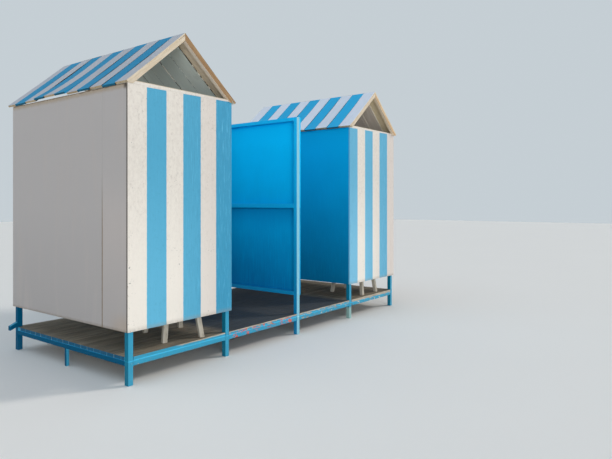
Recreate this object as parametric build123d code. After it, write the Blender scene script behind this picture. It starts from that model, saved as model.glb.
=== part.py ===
from build123d import *
from math import asin, atan2, cos, hypot, radians, sin, tan
import os

# A beach changing cabin: two roofed cubicles on one steel base, with a free screen between them.
# Sizes are in millimetres. The origin is on the ground under the middle of the plan.
# X runs along the striped front, Y runs from the front to the back and Z is up.
# Left and right are as seen by someone facing the striped front.

# Overall plan
STRIPE_WIDTH = 200
STRIPE_COUNT = 6
CUBICLE_WIDTH = STRIPE_WIDTH * STRIPE_COUNT
CUBICLE_GAP = 2170
DEPTH = 1965

# Heights above the ground
RAIL_BOTTOM = 162
DECK_TOP = 238
WALL_BOTTOM = 449
WALL_TOP = 2505

# Steel tube and board sections
POST = 50
DECK_THICKNESS = 33
BASE_RAIL_WIDTH = 50
END_LEG = 30
SHEET = 18

# Clearances
SHEET_GAP = 2
POST_NOTCH_CLEARANCE = 2
MITRE_GAP = 2
TIE_END_GAP = 1
PASSAGE_WALL_CLEARANCE = 5

# Walls
OUTER_FRONT_SHEET_LENGTH = 342
INNER_WALL_LENGTH = 1200

# Screen: its post stands a little to the right of the middle of the plan
SCREEN_OFFSET = 15
SCREEN_TOP_RAIL = 42
SCREEN_MIDDLE_RAIL = 50
SCREEN_BOTTOM_RAIL = 42
SCREEN_MIDDLE_RAIL_BOTTOM = 1455

# Roof: over each outer wall the slope is a little steeper and shorter than over the inner wall.
# Both roofs start in front of the front walls and run on past the back walls.
OUTER_PITCH = 41
OUTER_OVERHANG = 20
OUTER_EAVE_CLEARANCE = 3
INNER_OVERHANG = 52
INNER_EAVE_CLEARANCE = 26
ROOF_BOARD = 20
ROOF_OVERRUN = 92
LEFT_ROOF_LEAD = 8
RIGHT_ROOF_LEAD = 35
RAFTER_DEPTH = 34
RAFTER_WIDTH = 45
TIE_HEIGHT = 28
RIDGE_BEAM_WIDTH = 40
RIDGE_BEAM_DEPTH = 60

# Stools: four splayed legs under a plank seat, standing on the deck behind each front wall
STOOL_FOOT_X = 415
STOOL_FOOT_Y = 545
STOOL_HEIGHT = 420
STOOL_SEAT = 30
STOOL_SEAT_OVERHANG = 15
STOOL_LEG = 45
STOOL_SPLAY = 7.2
LEFT_STOOL_FROM_END = 768
RIGHT_STOOL_FROM_END = 541
LEFT_STOOL_FROM_FRONT = 369
RIGHT_STOOL_FROM_FRONT = 352
LEFT_STOOL_TURN = -17

# Short stubs of bent tube on the outer faces of the two back corner posts
STUB_SECTION = 46
STUB_REACH = 75
STUB_DROP = 24
STUB_TOP = 290

# Planes that several pieces share
END_X = CUBICLE_WIDTH + CUBICLE_GAP / 2
INNER_X = CUBICLE_GAP / 2
HALF_WIDTH = CUBICLE_WIDTH / 2
ROOF_LENGTH = DEPTH + ROOF_OVERRUN
FRONT_Y = (LEFT_ROOF_LEAD + RIGHT_ROOF_LEAD - ROOF_LENGTH) / 2
BACK_Y = FRONT_Y + DEPTH
MIDDLE_Y = FRONT_Y + DEPTH / 2
POST_FRONT_Y = FRONT_Y + SHEET
POST_BACK_Y = BACK_Y - SHEET
DECK_BOTTOM = DECK_TOP - DECK_THICKNESS
TIE_TOP = WALL_TOP + TIE_HEIGHT
OUTER_RISE = HALF_WIDTH * tan(radians(OUTER_PITCH)) + ROOF_BOARD / cos(radians(OUTER_PITCH))
RIDGE_TOP = WALL_TOP + OUTER_EAVE_CLEARANCE + OUTER_RISE

# Left faces of the posts along the front, from left to right
POST_X = [
    -END_X + SHEET,
    -INNER_X - SHEET - POST,
    SCREEN_OFFSET - POST / 2,
    INNER_X + SHEET,
    END_X - SHEET - POST,
]


class Slope:
    """Heights and reach of one roof slope, measured level from the ridge."""

    def __init__(self, eave_clearance, overhang):
        drop = RIDGE_TOP - WALL_TOP - eave_clearance
        self.pitch = atan2(drop, HALF_WIDTH) - asin(ROOF_BOARD / hypot(HALF_WIDTH, drop))
        self.reach = HALF_WIDTH + overhang

    def under_boards(self, distance):
        """Height of the underside of the boards."""
        return RIDGE_TOP - ROOF_BOARD / cos(self.pitch) - distance * tan(self.pitch)

    def under_rafter(self, distance):
        """Height of the underside of the rafters."""
        return self.under_boards(distance) - RAFTER_DEPTH / cos(self.pitch)

    def rafter_foot(self, height):
        """Distance from the ridge at which the underside of the rafters comes down to a height."""
        return (self.under_rafter(0) - height) / tan(self.pitch)

    def eave(self):
        """Upper and lower corner of the eave, each with its distance and its height."""
        top_z = RIDGE_TOP - self.reach * tan(self.pitch)
        low_x = self.reach - ROOF_BOARD * sin(self.pitch)
        return (self.reach, top_z), (low_x, top_z - ROOF_BOARD * cos(self.pitch))


OUTER_SLOPE = Slope(OUTER_EAVE_CLEARANCE, OUTER_OVERHANG)
INNER_SLOPE = Slope(INNER_EAVE_CLEARANCE, INNER_OVERHANG)


def block(x0, x1, y0, y1, z0, z1):
    """A square-edged piece between three pairs of planes."""
    middle = Pos((x0 + x1) / 2, (y0 + y1) / 2, (z0 + z1) / 2)
    return middle * Box(x1 - x0, y1 - y0, z1 - z0)


def prism(points, y0, y1):
    """A piece with one outline in X and Z all along Y."""
    outline = Plane.XZ.offset(-y1) * Polygon(*points, align=None)
    return extrude(outline, amount=y1 - y0, dir=(0, -1, 0))


def leaning_bar(foot, top, section):
    """A square bar whose level ends are centred on two points."""
    end = Pos(*foot) * Rectangle(section, section)
    run = Vector(*top) - Vector(*foot)
    return extrude(end, amount=run.length, dir=run.normalized())


def base_rails_along(y0):
    """Base rail lengths between neighbouring posts of one long side."""
    pairs = zip(POST_X[:-1], POST_X[1:])
    return [
        block(left + POST, right, y0, y0 + BASE_RAIL_WIDTH, RAIL_BOTTOM, DECK_BOTTOM)
        for left, right in pairs
    ]


def base_rails_across(lefts):
    """Base rail lengths from the front posts to the back posts."""
    y0 = POST_FRONT_Y + POST
    y1 = POST_BACK_Y - POST
    return [block(x, x + BASE_RAIL_WIDTH, y0, y1, RAIL_BOTTOM, DECK_BOTTOM) for x in lefts]


def post(x, y, z0=0):
    """A post from the ground, or from the deck, to the top of the walls."""
    return block(x, x + POST, y, y + POST, z0, WALL_TOP)


def make_deck():
    """The deck, notched round every post."""
    deck = block(POST_X[0], POST_X[-1] + POST, POST_FRONT_Y, POST_BACK_Y, DECK_BOTTOM, DECK_TOP)
    c = POST_NOTCH_CLEARANCE
    for x in POST_X:
        for y in (POST_FRONT_Y, POST_BACK_Y - POST):
            deck -= block(x - c, x + POST + c, y - c, y + POST + c, DECK_BOTTOM - c, DECK_TOP + c)
    return deck


def roof_slope(centre, side, slope, front):
    """Boarded slope from the ridge to the eave; side is -1 for the left one and 1 for the right one."""
    (top_x, top_z), (low_x, low_z) = slope.eave()
    points = [
        (centre, RIDGE_TOP),
        (centre + side * top_x, top_z),
        (centre + side * low_x, low_z),
        (centre, slope.under_boards(0)),
    ]
    return prism(points, front, front + ROOF_LENGTH)


def rafter(centre, side, slope, y0):
    """Gable rafter under the boards, cut level on the end wall and plumb in line with the side wall."""
    start = MITRE_GAP / 2
    points = [
        (centre + side * start, slope.under_boards(start)),
        (centre + side * HALF_WIDTH, slope.under_boards(HALF_WIDTH)),
        (centre + side * HALF_WIDTH, WALL_TOP),
        (centre + side * slope.rafter_foot(WALL_TOP), WALL_TOP),
        (centre + side * start, slope.under_rafter(start)),
    ]
    return prism(points, y0, y0 + RAFTER_WIDTH)


def rafter_pair(centre, left_slope, right_slope, y0):
    """The two rafters of one gable."""
    return [rafter(centre, -1, left_slope, y0), rafter(centre, 1, right_slope, y0)]


def tie(centre, left_slope, right_slope, y0):
    """Level timber on top of an end wall, with its ends trimmed under the two rafters."""
    points = [
        (centre - left_slope.rafter_foot(WALL_TOP) + TIE_END_GAP, WALL_TOP),
        (centre + right_slope.rafter_foot(WALL_TOP) - TIE_END_GAP, WALL_TOP),
        (centre + right_slope.rafter_foot(TIE_TOP) - TIE_END_GAP, TIE_TOP),
        (centre - left_slope.rafter_foot(TIE_TOP) + TIE_END_GAP, TIE_TOP),
    ]
    return prism(points, y0, y0 + RAFTER_WIDTH)


def ridge_beam(centre, left_slope, right_slope, y0, y1):
    """Beam along the ridge between the two pairs of rafters, shaped to the boards it carries."""
    half = RIDGE_BEAM_WIDTH / 2
    peak = min(left_slope.under_boards(0), right_slope.under_boards(0))
    points = [
        (centre - half, peak - RIDGE_BEAM_DEPTH),
        (centre + half, peak - RIDGE_BEAM_DEPTH),
        (centre + half, right_slope.under_boards(half)),
        (centre, peak),
        (centre - half, left_slope.under_boards(half)),
    ]
    return prism(points, y0, y1)


def top_rails(left, right):
    """Four tubes behind the tops of the wall sheets, between the corner posts of one cubicle."""
    z0 = WALL_TOP - POST
    y0 = POST_FRONT_Y
    y1 = POST_BACK_Y
    return [
        block(left + POST, right, y0, y0 + POST, z0, WALL_TOP),
        block(left + POST, right, y1 - POST, y1, z0, WALL_TOP),
        block(left, left + POST, y0 + POST, y1 - POST, z0, WALL_TOP),
        block(right, right + POST, y0 + POST, y1 - POST, z0, WALL_TOP),
    ]


def stool(x, y, turn):
    """Splayed legs and the seat of one stool."""
    spread = (STOOL_HEIGHT - STOOL_SEAT) * tan(radians(STOOL_SPLAY))
    seat_bottom = DECK_TOP + STOOL_HEIGHT - STOOL_SEAT
    foot_x = (STOOL_FOOT_X - STOOL_LEG) / 2
    foot_y = (STOOL_FOOT_Y - STOOL_LEG) / 2
    place = Pos(x, y, 0) * Rot(0, 0, turn)
    legs = []
    for side in (-1, 1):
        for end in (-1, 1):
            foot = (side * foot_x, end * foot_y, DECK_TOP)
            top = (side * (foot_x - spread), end * (foot_y - spread), seat_bottom)
            legs.append(place * leaning_bar(foot, top, STOOL_LEG))
    half_x = foot_x - spread + STOOL_LEG / 2 + STOOL_SEAT_OVERHANG
    half_y = foot_y - spread + STOOL_LEG / 2 + STOOL_SEAT_OVERHANG
    seat = block(-half_x, half_x, -half_y, half_y, seat_bottom, seat_bottom + STOOL_SEAT)
    return legs, [place * seat]


def corner_stub(side):
    """Stub that leaves the back corner post outwards and droops."""
    root = side * (END_X - SHEET)
    drop = STUB_REACH * tan(radians(STUB_DROP))
    points = [
        (root, STUB_TOP),
        (root + side * STUB_REACH, STUB_TOP - drop),
        (root + side * STUB_REACH, STUB_TOP - drop - STUB_SECTION),
        (root, STUB_TOP - STUB_SECTION),
    ]
    return prism(points, POST_BACK_Y - POST, POST_BACK_Y - POST + STUB_SECTION)


def cubicle(name, side):
    """Every piece of one cubicle above the deck; side is -1 for the left one and 1 for the right one."""
    centre = side * (END_X - HALF_WIDTH)
    x0 = centre - HALF_WIDTH
    x1 = centre + HALF_WIDTH
    left_post = x0 + SHEET
    right_post = x1 - SHEET - POST
    outer_x = x0 if side < 0 else x1 - SHEET
    inner_x = x1 - SHEET if side < 0 else x0
    inner_post = right_post if side < 0 else left_post
    sheet_y0 = FRONT_Y + SHEET
    sheet_y1 = BACK_Y - SHEET
    seam = sheet_y0 + OUTER_FRONT_SHEET_LENGTH
    door_edge = sheet_y0 + INNER_WALL_LENGTH
    left_slope, right_slope = (OUTER_SLOPE, INNER_SLOPE) if side < 0 else (INNER_SLOPE, OUTER_SLOPE)
    roof_front = FRONT_Y - (LEFT_ROOF_LEAD if side < 0 else RIGHT_ROOF_LEAD)
    rafters_y = (roof_front, BACK_Y - RAFTER_WIDTH)
    ties_y = (FRONT_Y, BACK_Y - RAFTER_WIDTH)
    beam_y0 = roof_front + RAFTER_WIDTH
    pieces = {
        name + "_front_wall": [block(x0, x1, FRONT_Y, sheet_y0, WALL_BOTTOM, WALL_TOP)],
        name + "_back_wall": [block(x0, x1, sheet_y1, BACK_Y, WALL_BOTTOM, WALL_TOP)],
        name + "_outer_wall_front_sheet": [
            block(outer_x, outer_x + SHEET, sheet_y0, seam, WALL_BOTTOM, WALL_TOP)
        ],
        name + "_outer_wall_rear_sheet": [
            block(outer_x, outer_x + SHEET, seam + SHEET_GAP, sheet_y1, WALL_BOTTOM, WALL_TOP)
        ],
        name + "_inner_wall": [
            block(inner_x, inner_x + SHEET, sheet_y0, door_edge, WALL_BOTTOM, WALL_TOP)
        ],
        name + "_posts": [
            post(left_post, POST_FRONT_Y),
            post(right_post, POST_FRONT_Y),
            post(left_post, POST_BACK_Y - POST),
            post(right_post, POST_BACK_Y - POST),
        ],
        name + "_doorway_post": [
            block(inner_post, inner_post + POST, door_edge - POST, door_edge, DECK_TOP, WALL_TOP - POST)
        ],
        name + "_top_rails": top_rails(left_post, right_post),
        name + "_front_rafters": rafter_pair(centre, left_slope, right_slope, rafters_y[0]),
        name + "_back_rafters": rafter_pair(centre, left_slope, right_slope, rafters_y[1]),
        name + "_gable_ties": [tie(centre, left_slope, right_slope, y0) for y0 in ties_y],
        name + "_ridge_beam": [ridge_beam(centre, left_slope, right_slope, beam_y0, rafters_y[1])],
        name + "_roof_left_slope": [roof_slope(centre, -1, left_slope, roof_front)],
        name + "_roof_right_slope": [roof_slope(centre, 1, right_slope, roof_front)],
    }
    return pieces


nodes = {
    "base_front_rail": base_rails_along(POST_FRONT_Y),
    "base_back_rail": base_rails_along(POST_BACK_Y - BASE_RAIL_WIDTH),
    "base_end_rails": base_rails_across([POST_X[0], POST_X[-1]]),
    "base_cross_rails": base_rails_across(POST_X[1:-1]),
    "base_end_legs": [
        block(x0, x0 + END_LEG, MIDDLE_Y - END_LEG / 2, MIDDLE_Y + END_LEG / 2, 0, RAIL_BOTTOM)
        for x0 in (POST_X[0], POST_X[-1] + POST - END_LEG)
    ],
    "corner_stubs": [corner_stub(-1), corner_stub(1)],
    "deck": [make_deck()],
}

nodes.update(cubicle("left", -1))
nodes.update(cubicle("right", 1))

# Screen
screen_x = POST_X[2]
screen_y0 = POST_FRONT_Y + POST
screen_y1 = POST_BACK_Y - POST
screen_rails = [
    (WALL_TOP - SCREEN_TOP_RAIL, WALL_TOP),
    (SCREEN_MIDDLE_RAIL_BOTTOM, SCREEN_MIDDLE_RAIL_BOTTOM + SCREEN_MIDDLE_RAIL),
    (WALL_BOTTOM, WALL_BOTTOM + SCREEN_BOTTOM_RAIL),
]
nodes["screen_posts"] = [post(screen_x, POST_FRONT_Y), post(screen_x, POST_BACK_Y - POST)]
nodes["screen_rails"] = [
    block(screen_x, screen_x + POST, screen_y0, screen_y1, z0, z1) for z0, z1 in screen_rails
]
nodes["screen_sheet"] = [
    block(screen_x + POST, screen_x + POST + SHEET, POST_FRONT_Y, POST_BACK_Y, WALL_BOTTOM, WALL_TOP)
]

# Back walls of the two passages, meeting on the back post of the screen and ending under the eaves
passage_top = INNER_SLOPE.eave()[1][1] - PASSAGE_WALL_CLEARANCE
passage_walls = [
    ("left_passage_back_wall", -INNER_X + SHEET_GAP, SCREEN_OFFSET - SHEET_GAP / 2),
    ("right_passage_back_wall", SCREEN_OFFSET + SHEET_GAP / 2, INNER_X - SHEET_GAP),
]
for wall_name, wall_x0, wall_x1 in passage_walls:
    nodes[wall_name] = [
        block(wall_x0, wall_x1, POST_BACK_Y, BACK_Y, WALL_BOTTOM, passage_top)
    ]

# Stools
stools = [
    ("left", -END_X + LEFT_STOOL_FROM_END, FRONT_Y + LEFT_STOOL_FROM_FRONT, LEFT_STOOL_TURN),
    ("right", END_X - RIGHT_STOOL_FROM_END, FRONT_Y + RIGHT_STOOL_FROM_FRONT, 0),
]
for stool_name, stool_x, stool_y, turn in stools:
    legs, seat = stool(stool_x, stool_y, turn)
    nodes[stool_name + "_stool_legs"] = legs
    nodes[stool_name + "_stool_seat"] = seat

os.makedirs("parts", exist_ok=True)
for node, pieces in nodes.items():
    solids = [solid for piece in pieces for solid in piece.solids()]
    export_step(Compound(children=solids), f"parts/{node}.step")
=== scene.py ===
import random
from math import pi, radians, sin, cos

import bmesh
import bpy
from mathutils import Matrix, Vector


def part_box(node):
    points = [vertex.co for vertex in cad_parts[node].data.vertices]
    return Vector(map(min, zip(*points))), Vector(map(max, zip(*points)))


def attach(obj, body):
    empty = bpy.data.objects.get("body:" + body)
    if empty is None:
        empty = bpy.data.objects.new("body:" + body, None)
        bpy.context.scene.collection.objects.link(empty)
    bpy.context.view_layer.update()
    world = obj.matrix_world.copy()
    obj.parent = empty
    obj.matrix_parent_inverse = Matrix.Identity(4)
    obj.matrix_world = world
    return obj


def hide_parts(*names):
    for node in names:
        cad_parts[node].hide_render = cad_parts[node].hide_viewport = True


bl_info = {
    "name": "Beach Changing Hut",
    "version": (1, 0, 0),
    "blender": (4, 5, 0),
    "location": "3D View > Sidebar > Hut",
    "description": "Dresses the double beach changing hut: boards, sheets, tubes and their finishes",
    "category": "Object",
}

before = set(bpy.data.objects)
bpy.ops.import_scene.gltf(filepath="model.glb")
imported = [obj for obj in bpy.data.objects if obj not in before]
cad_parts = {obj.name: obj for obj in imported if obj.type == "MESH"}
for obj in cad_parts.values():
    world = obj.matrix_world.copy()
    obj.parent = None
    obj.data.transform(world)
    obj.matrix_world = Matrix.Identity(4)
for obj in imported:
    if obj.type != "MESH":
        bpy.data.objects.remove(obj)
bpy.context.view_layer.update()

FRONT_LOW, FRONT_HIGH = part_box("left_front_wall")
WALL_FOOT, WALL_TOP = FRONT_LOW.z, FRONT_HIGH.z
RIGHT_FRONT_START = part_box("right_front_wall")[0].x
DECK_LOW, DECK_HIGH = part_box("deck")
SCREEN_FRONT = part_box("screen_sheet")[0].y
RAIL_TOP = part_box("base_front_rail")[1].z
POST_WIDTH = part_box("left_doorway_post")[1].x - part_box("left_doorway_post")[0].x

# Steel faces further back than this get the deepest painted shade, for the shade of the walls they stand in
SHADE_BEHIND_Y = 0.5
# Lower edge of the screen's middle rail, under which a painted shadow falls on the screen
MIDDLE_RAIL_Z = 1.455
# Wear, and the painted shade on the passage deck, change here along X: into the passages, past the screen,
# at the near stool and at the far hut
PASSAGE_FROM, PASSAGE_TO = -1.2, -1.0
SCREEN_FROM, SCREEN_TO = -0.15, 0.05
NEAR_STOOL_FROM, NEAR_STOOL_TO = -1.78, -1.70
FAR_HUT_FROM, FAR_HUT_TO = 1.12, 1.22

STEEL_NODES = (
    "base_front_rail", "base_back_rail", "base_end_rails", "base_cross_rails", "base_end_legs",
    "corner_stubs", "left_posts", "right_posts", "screen_posts", "left_doorway_post",
    "right_doorway_post", "left_top_rails", "right_top_rails", "screen_rails",
)
SIDES = ("left", "right")
# Which way each slope falls along X
HANDS = {"left": -1, "right": 1}

# Inner stripe edges of each front wall, in metres from its left edge, and the painted line under its roof:
# its height at that edge and its rise for each metre
STRIPE_EDGES = {"left": (0.190, 0.397, 0.585, 0.795, 0.990), "right": (0.194, 0.387, 0.591, 0.782, 1.003)}
STRIPE_TOPS = {"left": (2.492, 0.0173), "right": (2.4985, 0.015)}
STRIPE_BLUR = 0.0012

# Each slope's board joints in metres from its front edge, then in millimetres how far each joint bows
# and how far each board's lower end lifts
ROOF_BOARDS = {
    "left_roof_left_slope": (
        (0.165, 0.355, 0.538, 0.730, 0.925, 1.110, 1.307, 1.487, 1.687, 1.895),
        (24, 2, 30, 20, 2, 8, 2, 30, 1, 1),
        (1, -1, 2, 7, 1, 21, 20, 20, 4, 1, 0)),
    "left_roof_right_slope": (
        (0.169, 0.358, 0.547, 0.736, 0.925, 1.114, 1.303, 1.492, 1.681, 1.870),
        (15, 1, 15, 1, 5, 3, 4, 2, 5, 2),
        (3, 5, 8, 6, 4, 8, 5, 3, 7, 4, 3)),
    "right_roof_left_slope": (
        (0.184, 0.372, 0.559, 0.746, 0.933, 1.120, 1.307, 1.494, 1.681, 1.868),
        (7, 9, 9, 8, 3, 8, 6, 2, 3, 2),
        (2, 4, 6, 3, 5, 3, 4, 6, 4, 3, 2)),
    "right_roof_right_slope": (
        (0.171, 0.360, 0.548, 0.737, 0.925, 1.114, 1.303, 1.492, 1.681, 1.870),
        (10, 9, 4, 3, 5, 3, 4, 2, 5, 2),
        (2, 5, 3, 6, 4, 3, 5, 2, 4, 3, 2)),
}
PER_METRE = 1000
# A board that lifts by more than this over the one before it, in millimetres, shows a painted side
OPEN_STEP = 10
# How far short of the eave the white and the blue boards may end, in metres
WHITE_SHORT, BLUE_SHORT = (0.006, 0.011), (0.0, 0.003)
# Boards cup across their width and sag between ridge and eave, more where they lift; their joints ripple
CUPPING = 0.0012
SAG, SAG_OF_LIFT = 0.002, 0.25
RIPPLE, RIPPLE_RATES = 0.2, (14, 22)
# Places of a slope's finishes in its list of materials
WHITE_TOP, BLUE_TOP, UNDERSIDE, JOINT, WHITE_END, BLUE_END, RIM, FIRST_UNDERSIDE = range(8)
# Boards start this far over the ridge and are trimmed to leave a gap there
RIDGE_SPARE, RIDGE_GAP = 0.03, 0.0012
# Cuts along a board that let it bend
ROOF_CUTS, DECK_CUTS = 14, 12
DECK_TRIM = 0.004
DECK_WAVE, DECK_WAVE_RATE = (0.0003, 0.0011), 2.1
# Faces this near to the deck's ends and to its front and back are its rim
RIM_BY_END, RIM_BY_FRONT = 0.006, 0.003
NOTCH_CLEARANCE = 0.002
SEAM_GAP = 0.002
STOOL_CORNER = 0.003
# Nails stand at these shares of a board's width and stray a little along and across it
NAIL_RADIUS, NAIL_TAPER, NAIL_HEIGHT = 0.0042, 0.72, 0.0018
NAIL_SHARES = (0.26, 0.74)
NAIL_STRAY_X, NAIL_STRAY_Y = 0.008, 0.004
WELD_INSET, WELD_STEP, WELD_STRAY = 0.002, 0.006, 0.0006
WELD_DROP = Vector((0.0052, 0.0030, 0.0052))
# A face faces a way when its normal has this much of it: in general, on a sheet, a roof board and a rim
FACING, SHEET_FACING, BOARD_FACING, RIM_FACING = 0.7, 0.9, 0.6, 0.4
# The front faces of the screen's post lie less than this behind the front of its sheet
SCREEN_POST_REACH = 0.04
# How far apart the grain of two boards may start, and where that of each slope's rafter does
GRAIN_REACH = 40
RAFTER_GRAIN = {"left": 4, "right": 5}
# How dark the gable timber and the notched deck boards are, from 0 to 1
GABLE_TONE, NOTCHED_TONE = 0.3, 0.4

# The camera solved from the hut's corners; its lens and shift are in pixels of a picture this wide
PICTURE_WIDTH = 612
LENS_PIXELS = 552.9
SHIFT_PIXELS = -27.0
SENSOR_WIDTH = 36.0
CAMERA_PLACE = (-5.016, -4.904, 1.5193)
CAMERA_TURN = 37.09

# Turn from straight ahead towards +X, elevation and softness in degrees, then strength and colour
LAMPS = {
    "key_lamp": (58, 32, 12, 1.3, (1.0, 0.95, 0.88)),
    "fill_lamp": (-36, 3, 34, 2.45, (0.93, 0.965, 1.0)),
    "top_lamp": (-110, 68, 70, 0.75, (0.70, 0.86, 1.0)),
}
# The small soft lamp inside the near gable; its place is from the middle of the front wall's top
GABLE_LAMP_POWER, GABLE_LAMP_RADIUS = 3.4, 0.25
GABLE_LAMP_PLACE = Vector((-0.25, 0.30, -0.1))
SKY_COLOUR, SKY_STRENGTH = (0.90, 0.95, 1.0), 0.30
BACKDROP_COLOUR = (0.56, 0.62, 0.66)
FLOOR_REACH = 40.0


def add_node(tree, kind, settings=None, sockets=None, output=0):
    """Adds a node: its settings first, then the values or links of its sockets."""
    node = tree.nodes.new(kind)
    for name, value in (settings or {}).items():
        setattr(node, name, value)
    for name, value in (sockets or {}).items():
        join(tree, value, node.inputs[name])
    return Wire(tree, node.outputs[output]) if node.outputs else None


def join(tree, value, socket):
    """Links a wire to a socket, or writes a plain value on it."""
    if isinstance(value, Wire):
        tree.links.new(value.socket, socket)
    elif socket.type == "RGBA" and len(value) == 3:
        socket.default_value = (*value, 1.0)
    else:
        socket.default_value = value


class Wire:
    """A shader socket that takes part in ordinary arithmetic."""

    def __init__(self, tree, socket):
        self.tree = tree
        self.socket = socket

    def math(self, operation, first, second=0.0):
        return add_node(self.tree, "ShaderNodeMath", {"operation": operation}, {0: first, 1: second})

    def __add__(self, other):
        return self.math("ADD", self, other)

    def __sub__(self, other):
        return self.math("SUBTRACT", self, other)

    def __rsub__(self, other):
        return self.math("SUBTRACT", other, self)

    def __mul__(self, other):
        return self.math("MULTIPLY", self, other)

    def __abs__(self):
        return self.math("ABSOLUTE", self)

    __radd__ = __add__
    __rmul__ = __mul__

    def least(self, other):
        return self.math("MINIMUM", self, other)

    def most(self, other):
        return self.math("MAXIMUM", self, other)

    def part(self, letter):
        """One part of a vector as a number."""
        return add_node(self.tree, "ShaderNodeSeparateXYZ", sockets={"Vector": self}, output=letter)

    def above(self, low, high, soft=True):
        """0 up to low, 1 from high on."""
        settings = {"interpolation_type": "SMOOTHSTEP" if soft else "LINEAR"}
        sockets = {"Value": self, "From Min": low, "From Max": high}
        return add_node(self.tree, "ShaderNodeMapRange", settings, sockets, "Result")

    def below(self, low, high, soft=True):
        """1 up to low, 0 from high on."""
        return 1 - self.above(low, high, soft)

    def noise(self, scale, detail=4.0, roughness=0.55, distortion=0.0, drawn=None):
        """Noise over a vector, which drawn scales part by part first, for long grain or tall streaks."""
        vector = self
        if drawn:
            vector = add_node(self.tree, "ShaderNodeMapping", sockets={"Vector": self, "Scale": drawn})
        sockets = {"Vector": vector, "Scale": scale, "Detail": detail, "Roughness": roughness,
                   "Distortion": distortion}
        return add_node(self.tree, "ShaderNodeTexNoise", sockets=sockets, output="Fac")


def srgb(red, green, blue):
    """Linear colour of an 8-bit screen colour."""
    parts = [channel / 255 for channel in (red, green, blue)]
    return tuple(p / 12.92 if p <= 0.04045 else ((p + 0.055) / 1.055) ** 2.4 for p in parts)


def shade(colour, *factors):
    """The same colour, darker or lighter, by one factor or by one for each of its parts."""
    return tuple(min(1.0, part * factor) for part, factor in zip(colour, factors * 3))


class Finish:
    """One material while it is being put together."""

    def __init__(self, name):
        self.material = bpy.data.materials.new(name)
        self.material.use_nodes = True
        self.tree = self.material.node_tree
        self.shader = self.tree.nodes["Principled BSDF"]

    def place(self):
        """Object coordinates in metres."""
        return add_node(self.tree, "ShaderNodeTexCoord", output="Object")

    def grain(self):
        """Place in a board: along its fibres, across them and through it."""
        return add_node(self.tree, "ShaderNodeAttribute", {"attribute_name": "grain"}, output="Vector")

    def tone(self):
        """A number from 0 to 1 that differs from board to board."""
        return add_node(self.tree, "ShaderNodeAttribute", {"attribute_name": "tone"}, output="Fac")

    def coats(self, base, *coats):
        """Lays coats over a colour, each given by its share and its own colour."""
        for share, colour in coats:
            sockets = {0: share, 6: base, 7: colour}
            base = add_node(self.tree, "ShaderNodeMix", {"data_type": "RGBA"}, sockets, 2)
        return base

    def relief(self, *layers):
        """Chains bumps: each layer is a height and its depth in metres."""
        normal = {}
        for height, depth in layers:
            sockets = {"Height": height, "Distance": depth, "Strength": 1.0, **normal}
            normal = {"Normal": add_node(self.tree, "ShaderNodeBump", sockets=sockets)}
        join(self.tree, normal["Normal"], self.shader.inputs["Normal"])

    def close(self, colour, roughness, shine=0.5, metallic=0.0):
        """Feeds the shader and hands back the material."""
        for name, value in (("Base Color", colour), ("Roughness", roughness),
                            ("Specular IOR Level", shine), ("Metallic", metallic)):
            join(self.tree, value, self.shader.inputs[name])
        return self.material


def length_value(name, description, default):
    return bpy.props.FloatProperty(name=name, description=description, default=default, unit="LENGTH")


def colour_value(name, description, *screen_colour):
    return bpy.props.FloatVectorProperty(
        name=name, description=description, subtype="COLOR", size=3, default=srgb(*screen_colour))


class HutSizes(bpy.types.PropertyGroup):
    """Sizes of the boards and edges."""

    roof_board_thickness: length_value("Roof board thickness", "Thickness of the roof boards", 0.020)
    roof_gap: length_value("Roof gap", "Gap between two roof boards at their ends", 0.002)
    deck_boards: bpy.props.IntProperty(
        name="Deck boards", description="Number of boards from the front to the back", default=19)
    deck_gap: length_value("Deck gap", "Gap between two deck boards", 0.005)
    tube_corner: length_value("Tube corner", "Rounding of the steel tubes", 0.004)
    sheet_corner: length_value("Sheet corner", "Rounding of the sheet edges", 0.0015)
    timber_corner: length_value("Timber corner", "Rounding of sawn timber", 0.002)


class HutColours(bpy.types.PropertyGroup):
    """Paint and timber colours."""

    white: colour_value("White", "White wall paint", 239, 231, 220)
    # Painted shade: the side and back walls take a white set darker than the front's, for the shade they
    # stand in
    shaded_side_white: colour_value("Side white", "Duller white of the side and back walls", 178, 172, 169)
    stripe_blue: colour_value("Stripe blue", "Blue of the near stripes", 95, 178, 210)
    far_stripe_blue: colour_value("Far stripe blue", "Blue of the far stripes", 123, 189, 218)
    sheet_blue: colour_value("Sheet blue", "Blue of the screen and the inner walls", 0, 197, 255)
    steel_blue: colour_value("Steel blue", "Blue of the steel tubes", 52, 154, 188)
    roof_white: colour_value("Roof white", "White of the roof boards", 186, 188, 195)
    far_roof_white: colour_value("Far roof white", "White of the far roof boards", 226, 232, 244)
    roof_blue: colour_value("Roof blue", "Blue of the near roof boards", 32, 141, 186)
    far_roof_blue: colour_value("Far roof blue", "Blue of the far roof boards", 38, 178, 230)
    # Painted light: the undersides are set lighter to stand in for light thrown up under the roof
    underside: colour_value("Underside", "Bare undersides of the near roof boards", 228, 231, 220)
    cream: colour_value("Cream", "Gable timber", 233, 220, 200)
    deck: colour_value("Deck", "Weathered deck boards", 184, 170, 146)


def sizes():
    return bpy.context.scene.hut_sizes


def colours():
    return bpy.context.scene.hut_colours


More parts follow.
